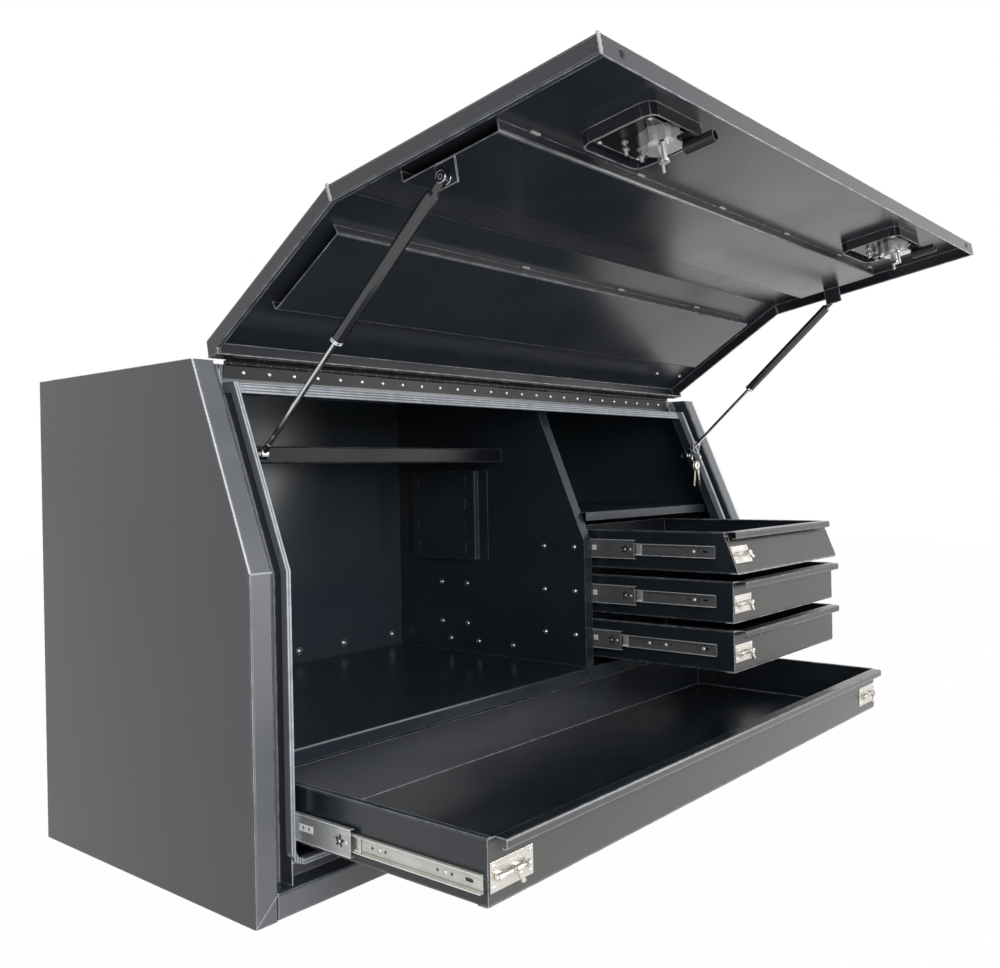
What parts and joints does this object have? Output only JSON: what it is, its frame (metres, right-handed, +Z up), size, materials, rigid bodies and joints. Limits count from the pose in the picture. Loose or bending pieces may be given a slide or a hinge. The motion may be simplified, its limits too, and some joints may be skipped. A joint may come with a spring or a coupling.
{
  "type": "drawer tool box",
  "caption": "Folded steel tool cabinet with a lifting front lid on gas struts, small drawers and a wide drawer on ball slides, an open bay with a shelf, and two rotary latches.",
  "frame": {"origin": "centre of the cabinet's base, on the face it stands on", "axes": "+X along the length to the right, +Y from the front to the back, +Z up"},
  "size_m": [1.47, 1.164, 1.0866],
  "materials": {
    "powder_coat": "satin",
    "inner_coat": "satin",
    "seal_rubber": "matte",
    "zinc": "satin",
    "stainless": "satin",
    "dull_steel": "satin",
    "strut_paint": "gloss"
  },
  "bodies": {
    "cabinet": {"cabinet_wrap": "powder_coat", "side_panel_left": "powder_coat", "side_panel_right": "powder_coat", "door_seal": "seal_rubber", "hinge_cabinet_leaf": "dull_steel", "hinge_pin": "zinc", "compartment_floor": "inner_coat", "divider_wall": "inner_coat", "upper_shelf": "inner_coat", "shelf_bracket_left": "inner_coat", "shelf_bracket_right": "inner_coat", "bay_cover": "inner_coat", "slide_support_left": "inner_coat", "slide_support_right": "zinc", "slide_support_upper": "zinc", "slide_outer_top": "zinc", "slide_outer_centre": "zinc", "slide_outer_low": "zinc", "slide_outer_wide": "zinc"},
    "lid": {"lid_shell": "powder_coat", "lid_stiffener_slant": "powder_coat", "lid_stiffener_door": "powder_coat", "hinge_lid_leaf": "dull_steel", "latch_pan_left": "strut_paint", "latch_pan_right": "strut_paint"},
    "latch_left": {"latch_cam_left": "dull_steel", "latch_handle_left": "stainless"},
    "latch_right": {"latch_cam_right": "dull_steel", "latch_handle_right": "stainless"},
    "drawer_top_body": {"drawer_top": "powder_coat", "slide_inner_top": "zinc", "bolt_plate_top": "stainless"},
    "middle_top": {"slide_middle_top_left": "zinc", "slide_middle_top_right": "zinc"},
    "bolt_top": {"bolt_rod_top": "stainless"},
    "drawer_centre_body": {"drawer_centre": "powder_coat", "slide_inner_centre": "zinc", "bolt_plate_centre": "stainless"},
    "middle_centre": {"slide_middle_centre_left": "zinc", "slide_middle_centre_right": "zinc"},
    "bolt_centre": {"bolt_rod_centre": "stainless"},
    "drawer_low_body": {"drawer_low": "powder_coat", "slide_inner_low": "zinc", "bolt_plate_low": "stainless"},
    "middle_low": {"slide_middle_low_left": "zinc", "slide_middle_low_right": "zinc"},
    "bolt_low": {"bolt_rod_low": "stainless"},
    "drawer_wide_body": {"drawer_wide": "powder_coat", "slide_inner_wide": "zinc", "bolt_plate_wide_left": "stainless", "bolt_plate_wide_right": "stainless"},
    "middle_wide": {"slide_middle_wide_left": "zinc", "slide_middle_wide_right": "zinc"},
    "bolt_wide_left": {"bolt_rod_wide_left": "stainless"},
    "bolt_wide_right": {"bolt_rod_wide_right": "stainless"},
    "strut_left": {"strut_cylinder_left": "strut_paint"},
    "strut_rod_left_body": {"strut_rod_left": "zinc"},
    "strut_right": {"strut_cylinder_right": "strut_paint"},
    "strut_rod_right_body": {"strut_rod_right": "zinc"},
    "keys": {"key_set": "zinc"}
  },
  "joints": [
    {"name": "lid_hinge", "type": "hinge", "parent": "cabinet", "child": "lid", "pos_m": [0, -0.1395, 0.802], "axis": [1, 0, 0], "range_deg": [0, 55]},
    {"name": "latch_left_turn", "type": "hinge", "parent": "lid", "child": "latch_left", "pos_m": [-0.438, -0.78259, 1.05935], "axis": [0, -0.1668, -0.986], "range_deg": [0, 90]},
    {"name": "latch_right_turn", "type": "hinge", "parent": "lid", "child": "latch_right", "pos_m": [0.438, -0.78259, 1.05935], "axis": [0, -0.1668, -0.986], "range_deg": [-90, 0]},
    {"name": "drawer_top_slide", "type": "slide", "parent": "cabinet", "child": "drawer_top_body", "axis": [0, -1, 0], "range_m": [-0.345, 0.07]},
    {"name": "middle_top_slide", "type": "slide", "parent": "cabinet", "child": "middle_top", "axis": [0, -1, 0], "range_m": [-0.1233, 0.0254]},
    {"name": "bolt_top_slide", "type": "slide", "parent": "drawer_top_body", "child": "bolt_top", "axis": [-1, 0, 0], "range_m": [0, 0.012]},
    {"name": "drawer_centre_slide", "type": "slide", "parent": "cabinet", "child": "drawer_centre_body", "axis": [0, -1, 0], "range_m": [-0.345, 0.07]},
    {"name": "middle_centre_slide", "type": "slide", "parent": "cabinet", "child": "middle_centre", "axis": [0, -1, 0], "range_m": [-0.1233, 0.0254]},
    {"name": "bolt_centre_slide", "type": "slide", "parent": "drawer_centre_body", "child": "bolt_centre", "axis": [-1, 0, 0], "range_m": [0, 0.012]},
    {"name": "drawer_low_slide", "type": "slide", "parent": "cabinet", "child": "drawer_low_body", "axis": [0, -1, 0], "range_m": [-0.345, 0.07]},
    {"name": "middle_low_slide", "type": "slide", "parent": "cabinet", "child": "middle_low", "axis": [0, -1, 0], "range_m": [-0.0874, 0.0181]},
    {"name": "bolt_low_slide", "type": "slide", "parent": "drawer_low_body", "child": "bolt_low", "axis": [-1, 0, 0], "range_m": [0, 0.012]},
    {"name": "drawer_wide_slide", "type": "slide", "parent": "cabinet", "child": "drawer_wide_body", "axis": [0, -1, 0], "range_m": [-0.435, 0.015]},
    {"name": "middle_wide_slide", "type": "slide", "parent": "cabinet", "child": "middle_wide", "axis": [0, -1, 0], "range_m": [-0.1884, 0.007]},
    {"name": "bolt_wide_left_slide", "type": "slide", "parent": "drawer_wide_body", "child": "bolt_wide_left", "axis": [-1, 0, 0], "range_m": [0, 0.012]},
    {"name": "bolt_wide_right_slide", "type": "slide", "parent": "drawer_wide_body", "child": "bolt_wide_right", "axis": [1, 0, 0], "range_m": [0, 0.012]},
    {"name": "strut_left_pivot", "type": "hinge", "parent": "lid", "child": "strut_left", "pos_m": [-0.637, -0.58693, 0.99887], "axis": [1, 0, 0], "range_deg": [0, 1.82]},
    {"name": "strut_left_stroke", "type": "slide", "parent": "strut_left", "child": "strut_rod_left_body", "axis": [0, -0.7488, 0.6628], "range_m": [0, 0.1465]},
    {"name": "strut_right_pivot", "type": "hinge", "parent": "lid", "child": "strut_right", "pos_m": [0.637, -0.58693, 0.99887], "axis": [1, 0, 0], "range_deg": [0, 1.82]},
    {"name": "strut_right_stroke", "type": "slide", "parent": "strut_right", "child": "strut_rod_right_body", "axis": [0, -0.7488, 0.6628], "range_m": [0, 0.1465]},
    {"name": "keys_swing", "type": "hinge", "parent": "strut_rod_right_body", "child": "keys", "pos_m": [0.637, -0.23303, 0.69171], "axis": [1, 0, 0], "range_deg": [-25, 12]}
  ],
  "couplings": [
    {"joint": "middle_top_slide", "follows": "drawer_top_slide", "ratio": 0.356},
    {"joint": "middle_centre_slide", "follows": "drawer_centre_slide", "ratio": 0.356},
    {"joint": "middle_low_slide", "follows": "drawer_low_slide", "ratio": 0.252},
    {"joint": "middle_wide_slide", "follows": "drawer_wide_slide", "ratio": 0.432},
    {"joint": "strut_left_pivot", "follows": "lid_hinge", "ratio": 0.024},
    {"joint": "strut_left_stroke", "follows": "lid_hinge", "m_per_rad": 0.1516},
    {"joint": "strut_right_pivot", "follows": "lid_hinge", "ratio": 0.024},
    {"joint": "strut_right_stroke", "follows": "lid_hinge", "m_per_rad": 0.1516}
  ]
}
